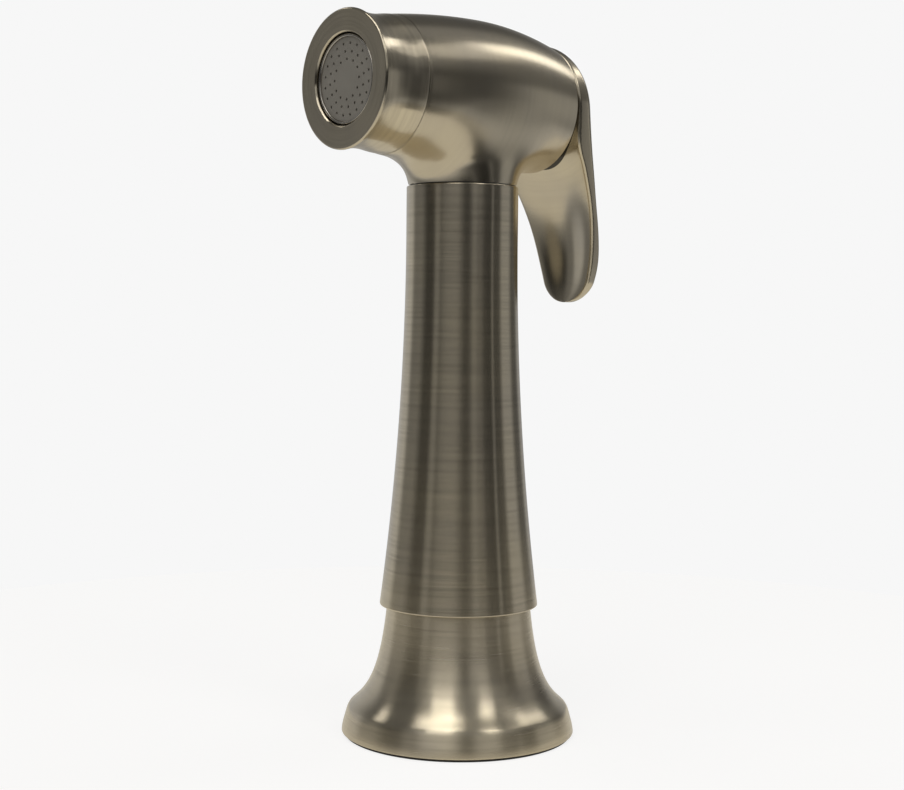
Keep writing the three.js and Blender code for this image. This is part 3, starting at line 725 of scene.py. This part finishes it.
def open_end(work, loop, outward, centre, bore, rim):
    """Rounds a cut edge of the head over and lines the opening behind it with a bore's outline."""
    outward, centre = Vector(outward), Vector(centre)
    start = [v.co.copy() for v in loop]
    radial = [((p - centre) - (p - centre).dot(outward) * outward) for p in start]
    directions = [r.normalized() for r in radial]
    ring = loop
    for turn in np.radians([30, 60, 90]):
        inwards, onwards = rim * (1 - math.cos(turn)), rim * math.sin(turn)
        places = [p - d * inwards + outward * onwards for p, d in zip(start, directions)]
        ring = stepped_ring(work, ring, places)
    face = centre + outward * ((start[0] - centre).dot(outward) + rim)
    bores = [(bore[0][0] + 0.25, 0.0), (bore[0][0] + 0.06, -0.06), (bore[0][0], -0.25), *bore]
    for radius, depth in bores:
        # The bore's faces and its end take the second material, dark as painted shade.
        places = [face + d * radius + outward * depth for d in directions]
        ring = stepped_ring(work, ring, places, inside=radius < bore[0][0] + 0.1)
    work.faces.new(ring[::-1]).material_index = 1


def head():
    work = head_skin()
    skin_vertices = len(work.verts)
    foot = HEAD_FOOT - HEAD_Z
    for loop in rim_loops(work):
        spot = loop[0].co
        if abs(spot.z - (NOSE_SEAM - RIM)) < 1e-3:
            open_end(work, loop, (0, 0, 1), (0, 0, 0), [(12.2, -16.2), (5.2, -16.3), (5.2, -20)], RIM)
        elif abs(spot.z - (BACK + RIM)) < 1e-3:
            recess = [(12.4, -6.9), (5.4, -7.0), (5.4, -9)]
            open_end(work, loop, (0, 0, -1), (0, -BACK_DROP, 0), recess, RIM)
        else:
            socket = [(7.0, -7.8), (4.5, -7.9), (4.5, -9.4)]
            open_end(work, loop, (0, -1, 0), (0, foot, 0), socket, FOOT_RIM)
    bmesh.ops.recalc_face_normals(work, faces=work.faces)
    mesh = bpy.data.meshes.new("head_body_fine")
    work.verts.ensure_lookup_table()
    work.to_mesh(mesh)
    work.free()
    points = np.array([v.co for v in mesh.vertices])
    normals = np.zeros_like(points)
    slope = head_slope(points[:skin_vertices])
    normals[:skin_vertices] = slope / np.linalg.norm(slope, axis=1)[:, None]
    place = Matrix.Scale(MM, 4) @ NOSE
    mesh.transform(place)
    turn = np.array(NOSE.to_3x3())
    normals = normals @ turn.T
    mesh.shade_smooth()
    mesh.set_sharp_from_angle(angle=math.radians(40))
    mesh.normals_split_custom_set_from_vertices([tuple(n) for n in normals])
    mesh.materials.append(HEAD_NICKEL)
    # The second material paints the head's bores and recesses dark as shade.
    mesh.materials.append(SHADED_INSIDE)
    piece = bpy.data.objects.new("head_body_fine", mesh)
    bpy.context.scene.collection.objects.link(piece)
    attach(piece, "handset")
    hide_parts("head_body")


def spray_nose():
    waist = [(SEAM_R - 0.05, NOSE_SEAM + 0.2), (14.95, 25.0), (14.6, 27.2), (14.45, 29.2), (14.5, 31.0), (14.75, 32.8)]
    lip = arc(LIP_R - 0.5, FACE - 0.5, 0.5, -20, 86, 10)
    face = [(10.25, FACE - 0.12), (9.95, FACE - 0.45)]
    spigot = [(10.4, 13), (12, 13), (12, 19.4), (11, 19.4), (11, 20.8), (12, 20.8), (12, NOSE_SEAM + 0.2)]
    outline = spigot + smooth_through(waist, 26) + lip + face + [(9.95, 27.4), (10.4, 26.8)]
    turned("nose_ring", outline, NOSE, "handset", NOSE_NICKEL, segments=192, edge=0.2)
    rolled = arc(9.33, 33.65, 0.32, 0, 180, 10)
    bezel = [(9.15, 27.8), (9.65, 27.8), *rolled, (9.01, 33.2), (9.15, 33.2)]
    turned("disc_bezel", bezel, NOSE, "handset", STAINLESS, segments=160, edge=0.05)
    spray_disc()


HOLE_ROWS = ((4.3, 12, 0.0), (5.97, 16, 0.1), (7.7, 20, 0.16))
HOLE_R = 0.36


def ring_of_points(radius, count, x=0.0, y=0.0):
    angles = np.linspace(0, 2 * math.pi, count, endpoint=False)
    return [(x + radius * math.cos(a), y + radius * math.sin(a)) for a in angles]


def spray_disc():
    """The face's disc with its three rows of spray holes, as a filled outline with a small edge all round."""
    curve = bpy.data.curves.new("disc_outline", "CURVE")
    curve.dimensions = "2D"
    curve.fill_mode = "BOTH"
    curve.extrude = 0.47
    curve.bevel_depth = 0.03
    curve.bevel_resolution = 1
    outlines = [ring_of_points(8.97, 128)]
    for radius, count, first in HOLE_ROWS:
        for i in range(count):
            a = first + 2 * math.pi * i / count
            outlines.append(ring_of_points(HOLE_R, 14, radius * math.cos(a), radius * math.sin(a)))
    for outline in outlines:
        line = curve.splines.new("POLY")
        line.points.add(len(outline) - 1)
        line.use_cyclic_u = True
        for point, (x, y) in zip(line.points, outline):
            point.co = (x, y, 0, 1)
    source = bpy.data.objects.new("disc_outline", curve)
    bpy.context.scene.collection.objects.link(source)
    bpy.context.view_layer.update()
    made = bpy.data.meshes.new_from_object(source.evaluated_get(bpy.context.evaluated_depsgraph_get()))
    bpy.data.objects.remove(source)
    vertices = [(v.co.x, v.co.y, v.co.z + 33.0) for v in made.vertices]
    faces = [tuple(p.vertices) for p in made.polygons]
    bpy.data.meshes.remove(made)
    disc = new_solid("spray_disc_fine", vertices, faces, NOSE)
    keep_flats_flat(finished(disc, "spray_disc", "handset", FACE_PLASTIC))


# ---------------------------------------------------------------- lever

# The lever by its height on the head, from the tip up: half its width, its front and back edges, how far
# the back stands out between its edges, and how deep the front is dished.
LEVER_WIDTH = spline(
    [
        (-42, 7.7), (-38, 8.8), (-34, 9.65), (-28, 10.8), (-23, 11.75), (-18, 12.7), (-12, 13.75),
        (-6, 14.55), (-1.4, 15.0), (4, 15.2),
    ]
)
FRONT_EDGE = spline(
    [
        (-47, -33.4), (-43, -33.6), (-38, -33.4), (-34, -32.9), (-28, -31.6), (-23, -29.9),
        (-19, -28.1), (-15, -26.1), (-11, -23.7), (-7, -21.7), (-3, -20.5),
    ]
)
BACK_EDGE = spline(
    [
        (-47, -34.8), (-42, -35.7), (-37, -35.6), (-33, -34.8), (-28, -33.3), (-23, -31.5), (-18, -29.7),
        (-12, -27.6), (-6, -26.0), (-1, -25.1), (4, -24.6), (9, -24.0), (14, -23.0),
    ]
)
BULGE = spline(
    [
        (-47, 0.4), (-45, 1.0), (-42, 1.46), (-37, 1.96), (-33, 2.3), (-28, 2.7), (-23, 3.2), (-18, 4.0),
        (-12, 4.8), (-6, 5.3), (-1.4, 5.4),
    ]
)
DISH = spline([(-47, 0.1), (-42, 1.1), (-33, 1.9), (-23, 1.5), (-18, 0.7), (-14, 0.0)])


def lever_width(y):
    if y > -BACK_DROP:
        return math.sqrt(max(0.0, BACK_R**2 - (y + BACK_DROP) ** 2))
    if y > TIP_TOP:
        return float(LEVER_WIDTH(y))
    fall = min(1.0, (TIP_TOP - y) / (TIP_TOP - LEVER_TIP))
    return (7.7 - 0.3 * (TIP_TOP - y)) * (1 - fall**2) ** 0.42


def lever_front(y):
    """The front edge: the cap's flat seat, then the wedge that clears the head, then the tongue."""
    clear = BACK - CAP_GAP - WEDGE_SLOPE * max(0.0, PIN_Y - y)
    tongue = float(FRONT_EDGE(y))
    soft = 1.2
    share = max(soft - abs(tongue - clear), 0) / soft
    return min(tongue, clear) - share * share * soft / 4


def lever_bulge(y):
    """How far the back stands out at the middle. The cap's part is domed like the end of an egg."""
    if y < -BACK_DROP:
        return float(BULGE(y))
    dome = max(0.0, 1 - ((y + BACK_DROP) / BACK_R) ** 2) ** 0.6
    return float(BULGE(-BACK_DROP)) * dome


def lever_section(y):
    """One level of the lever, as points (x, distance towards the face) in order round it."""
    w, front, back = lever_width(y), lever_front(y), float(BACK_EDGE(y))
    back = min(back, front - 0.3)
    bulge, dish = lever_bulge(y), float(DISH(y)) if y < -14 else 0.0
    edge = min(0.75, 0.45 * (front - back), 0.5 * w)
    points = [(-w * math.cos(a), back - bulge * math.sin(a)) for a in np.linspace(0, math.pi, 57)]
    for a in np.radians(np.linspace(0, 90, 6)):
        points.append((w - edge + edge * math.cos(a), front - edge + edge * math.sin(a)))
    for t in np.linspace(1, -1, 41)[1:-1]:
        points.append(((w - edge) * t, front - dish * math.cos(t * math.pi / 2) ** 2))
    for a in np.radians(np.linspace(90, 180, 6)):
        points.append((-w + edge + edge * math.cos(a), front - edge + edge * math.sin(a)))
    return points


def lever_levels():
    top = [-BACK_DROP + BACK_R * math.sin(a) for a in np.radians(np.linspace(89.2, 2, 40))]
    grip = list(np.linspace(-2.0, TIP_TOP, 70))
    tip = [TIP_TOP - (TIP_TOP - LEVER_TIP) * math.sin(a) for a in np.radians(np.linspace(4, 89, 30))]
    return top + grip + tip


def paddle():
    """The cap and the tongue as one solid."""
    levels = lever_levels()
    sections = [lever_section(y) for y in levels]
    around = len(sections[0])
    vertices = [(x, y, s) for y, section in zip(levels, sections) for x, s in section]
    faces = strips(len(levels), around, closed=False)
    for ring in (0, len(levels) - 1):
        vertices.append(tuple(np.mean(vertices[ring * around : (ring + 1) * around], axis=0)))
        centre = len(vertices) - 1
        for i in range(around):
            faces.append((centre, ring * around + (i + 1) % around, ring * around + i))
    return new_solid("lever_fine", vertices, faces, NOSE)


def pocket():
    """The hollow behind the cap that clears the yoke."""
    floor, mouth = POCKET_FLOOR, -19
    outline = [(0, floor), (POCKET_R, floor), (POCKET_R, mouth), (0, mouth)]
    vertices, faces = turned_shape(outline, 96, 0.8)
    return new_solid("pocket", vertices, faces, NOSE @ Matrix.Translation((0, -BACK_DROP, 0)))


def lug():
    """The hook inside the cap that snaps over the pivot pin from behind."""
    outer, hole, mouth, root = 2.9, 1.28, 1.0, -27.0
    outer_lip = math.degrees(math.asin(mouth / outer))
    inner_lip = math.degrees(math.asin(mouth / hole))
    outline = [(PIN_Y + outer, root)]
    outline += [(PIN_Y + y, PIN_S + s) for s, y in arc(0, 0, outer, 90, outer_lip, 14)]
    outline += [(PIN_Y + y, PIN_S + s) for s, y in arc(0, 0, hole, inner_lip, 360 - inner_lip, 28)]
    outline += [(PIN_Y + y, PIN_S + s) for s, y in arc(0, 0, outer, -outer_lip, -90, 14)]
    outline.append((PIN_Y - outer, root))
    half = 2.2
    vertices = [(x, y, s) for x in (-half, half) for y, s in outline]
    around = len(outline)
    faces = strips(2, around, closed=False)
    faces += [tuple(range(around)), tuple(range(around, 2 * around))]
    return new_solid("lug", vertices, faces, NOSE)


def lever():
    piece = combined(paddle(), pocket(), "DIFFERENCE")
    piece = combined(piece, lug(), "UNION")
    keep_flats_flat(finished(piece, "lever", "lever", LEVER_NICKEL))
    pad = [(0, -27.0), (1, -27.0), (1, -25.7), (2.8, -25.7), (2.8, -25.2), (2.6, -25.05), (0, -25.05)]
    turned("lever_pad", pad, VALVE, "lever", BLACK_PLASTIC, 48)


# ---------------------------------------------------------------- pivot and valve


def pivot_and_valve():
    """What shows through the gap between the head and the lever's cap."""
    across = Matrix(((0, 0, 1, 0), (1, 0, 0, 0), (0, 1, 0, 0), (0, 0, 0, 1)))
    pin_place = NOSE @ Matrix.Translation((0, PIN_Y, PIN_S)) @ across
    pin = [(0, -4.6), (1.2, -4.6), (1.2, 4.6), (0, 4.6)]
    turned("pivot_pin", pin, pin_place, "handset", STAINLESS, 32, 0.2)
    screw = [(0, -18.2), (0.7, -18.2), (0.9, -18.5), (1.4, -18.5), (2.0, -18.0), (2.0, -17.0), (1.15, -17.0)]
    screw += [(1.15, -11.1), (0, -11.1)]
    for node, x in (("yoke_screw_left", -8.6), ("yoke_screw_right", 8.6)):
        turned(node, screw, NOSE @ Matrix.Translation((x, 2.4, 0)), "handset", STAINLESS, 48)
    gland = [(2.15, -8.2), (2.15, -10.4), (3.2, -10.4), (3.2, -11.6), (2.15, -11.6), (2.15, -17.3)]
    bonnet = [*gland, (5.6, -17.3), (5.6, -15.3), (4.95, -15.3), (4.95, -8.2)]
    turned("valve_bonnet", bonnet, VALVE, "handset", BRASS, 96)
    stem = [(0, -24.7), (0.9, -24.5), (1.6, -24.0), (2.0, -23.2), (2.0, -6.4), (1.5, -6), (1.5, 7.7)]
    stem += [(1.1, 7.7), (1.1, 10.0), (0, 10.0)]
    turned("valve_stem", stem, VALVE, "valve", STAINLESS, 64)


# ---------------------------------------------------------------- studio


# What the metal mirrors: bands of dark and light all round the studio, by angle from the camera's side (right
# is positive), as (left edge, right edge, brightness).
FAR_FLOOR = (
    (-180, 36, 0.46),
    (43, 68, 0.04),
    (80, 180, 0.46),
)
GROUND = (
    (-180, -130, 0.30),
    (-115, -60, 0.20),
    (-45, -10, 0.18),
    (0, 24, 0.10),
    (32, 72, 0.04),
    (84, 104, 0.27),
    (114, 135, 0.15),
    (155, 180, 0.28),
)
WALLS = (
    (-180, -124, 0.48),
    (-112, -90, 0.17),
    (-75, -60, 0.02),
    (-54, -49, 0.20),
    (-43, -10, 0.045),
    (-2, 19, 0.0),
    (23, 28, 0.11),
    (33, 40, 0.02),
    (46, 62, 0.01),
    (64, 66, 0.26),
    (68, 82, 0.045),
    (90, 110, 0.33),
    (121, 136, 0.10),
    (150, 180, 0.35),
)
UPPER_WALLS = (
    (-180, -124, 0.45),
    (-112, -96, 0.18),
    (-82, -60, 0.04),
    (-50, -46, 0.16),
    (-36, -4, 0.52),
    (7, 13, 0.08),
    (20, 40, 0.46),
    (48, 58, 0.12),
    (64, 82, 0.05),
    (92, 108, 0.14),
    (120, 136, 0.08),
    (150, 180, 0.30),
)
CEILING = (
    (-180, -130, 0.12),
    (-100, -62, 0.12),
    (-36, -4, 0.42),
    (8, 20, 0.22),
    (34, 62, 0.30),
    (76, 100, 0.14),
    (108, 140, 0.24),
    (155, 180, 0.09),
)
# The levels above the far floor, each with the elevations in degrees between which it takes over.
LEVELS = (
    (-26, -20, GROUND),
    (-17, -7, WALLS),
    (9, 14, UPPER_WALLS),
    (18, 33, CEILING),
)


def softbox(name, angle, elevation, width, height, radiance, roll=0):
    """A rectangle of even light a metre off that faces the spray, placed by its angle from the camera's side."""
    turn, rise = math.radians(CAMERA_AZIMUTH + angle), math.radians(elevation)
    towards = Vector((math.cos(rise) * math.cos(turn), math.cos(rise) * math.sin(turn), math.sin(rise)))
    lamp = bpy.data.lights.new(name, "AREA")
    lamp.shape = "RECTANGLE"
    lamp.size, lamp.size_y = width, height
    lamp.energy = radiance * math.pi * width * height
    lamp.color = (1, 0.97, 0.92)
    light = bpy.data.objects.new(name, lamp)
    light.location = Vector((0, 0, 0.1)) + towards
    light.rotation_mode = "QUATERNION"
    turned_round = Matrix.Rotation(math.radians(roll), 3, "Z").to_quaternion()
    light.rotation_quaternion = towards.to_track_quat("Z", "Y") @ turned_round
    light.visible_camera = False
    bpy.context.scene.collection.objects.link(light)


def dark_card():
    """A dark card on the floor, out of the camera's sight, that the head's neck mirrors."""
    turns = np.radians(CAMERA_AZIMUTH + np.linspace(40, 72, 12))
    near, far, height = 0.17, 0.24, 0.0005
    edge = [(near * math.cos(a), near * math.sin(a), height) for a in turns]
    edge += [(far * math.cos(a), far * math.sin(a), height) for a in turns[::-1]]
    mesh = bpy.data.meshes.new("dark_card")
    mesh.from_pydata(edge, [], [tuple(range(len(edge)))])
    card = bpy.data.objects.new("dark_card", mesh)
    bpy.context.scene.collection.objects.link(card)
    card.visible_camera = card.visible_diffuse = card.visible_shadow = False
    material, _, shader = new_material("dark_card")
    shader.inputs["Base Color"].default_value = (0.03, 0.03, 0.03, 1)
    shader.inputs["Roughness"].default_value = 0.9
    mesh.materials.append(material)


def bands(nodes, turns, rows):
    """The bands of one level, by the share of a full turn that starts opposite the camera's side."""
    return nodes.ramp(turns, [(0.5 + edge / 360, bright) for *edges, bright in rows for edge in edges])


def studio():
    """A pale floor, panels of light and dark all round, and soft lights above."""
    floor_mesh = bpy.data.meshes.new("floor")
    rim = ring_of_points(FLOOR_R, 128)
    floor_mesh.from_pydata([(x, y, 0) for x, y in rim], [], [tuple(range(len(rim)))])
    floor = bpy.data.objects.new("floor", floor_mesh)
    bpy.context.scene.collection.objects.link(floor)
    material, nodes, shader = new_material("pale_floor")
    shader.inputs["Base Color"].default_value = (0.30, 0.295, 0.285, 1)
    shader.inputs["Roughness"].default_value = 0.9
    shader.inputs["Specular IOR Level"].default_value = 0.1
    seen = nodes.add("ShaderNodeLightPath").outputs["Is Camera Ray"]
    glow = nodes.mix(seen, (0.52, 0.49, 0.42), (0.80, 0.80, 0.80))
    nodes.tree.links.new(glow, shader.inputs["Emission Color"])
    shader.inputs["Emission Strength"].default_value = 1.0
    floor_mesh.materials.append(material)

    softbox("overhead_light", -46, 72, 0.64, 0.36, 2.4)
    softbox("key_light", -22, 45, 0.42, 0.42, 1.35)
    softbox("front_light", 46, 48, 0.26, 0.34, 2.3)
    softbox("right_light", 120, 41, 0.5, 0.18, 2.0, roll=-42)
    softbox("right_fill", 88, 46, 0.42, 0.27, 0.5)
    softbox("left_light", -118, 39, 0.18, 0.16, 2.2)
    dark_card()

    world = bpy.data.worlds.new("studio")
    world.use_nodes = True
    bpy.context.scene.world = world
    nodes = Nodes(world.node_tree)
    background = world.node_tree.nodes["Background"]
    direction = nodes.add("ShaderNodeTexCoord").outputs["Generated"]
    split = nodes.add("ShaderNodeSeparateXYZ", {0: direction})
    azimuth = nodes.math("ARCTAN2", split.outputs["Y"], split.outputs["X"])
    from_camera = nodes.math("DIVIDE", azimuth, 2 * math.pi)
    turns = nodes.math("FRACT", nodes.math("ADD", from_camera, 1.5 - CAMERA_AZIMUTH / 360))
    rise = nodes.math("ADD", nodes.math("MULTIPLY", split.outputs["Z"], 0.5), 0.5)
    room = bands(nodes, turns, FAR_FLOOR)
    for low, high, rows in LEVELS:
        edges = [(0.5 + 0.5 * math.sin(math.radians(e)), bright) for e, bright in ((low, 0.0), (high, 1.0))]
        room = nodes.mix(nodes.ramp(rise, edges), room, bands(nodes, turns, rows))
    seen = nodes.add("ShaderNodeLightPath").outputs["Is Camera Ray"]
    nodes.tree.links.new(nodes.mix(seen, room, (BACKDROP,) * 3), background.inputs["Color"])
    bpy.context.scene.view_settings.view_transform = "Standard"


holder()
swivel_inlet()
tail()
handle()
head()
spray_nose()
lever()
pivot_and_valve()
finish_cad_nodes()
studio()
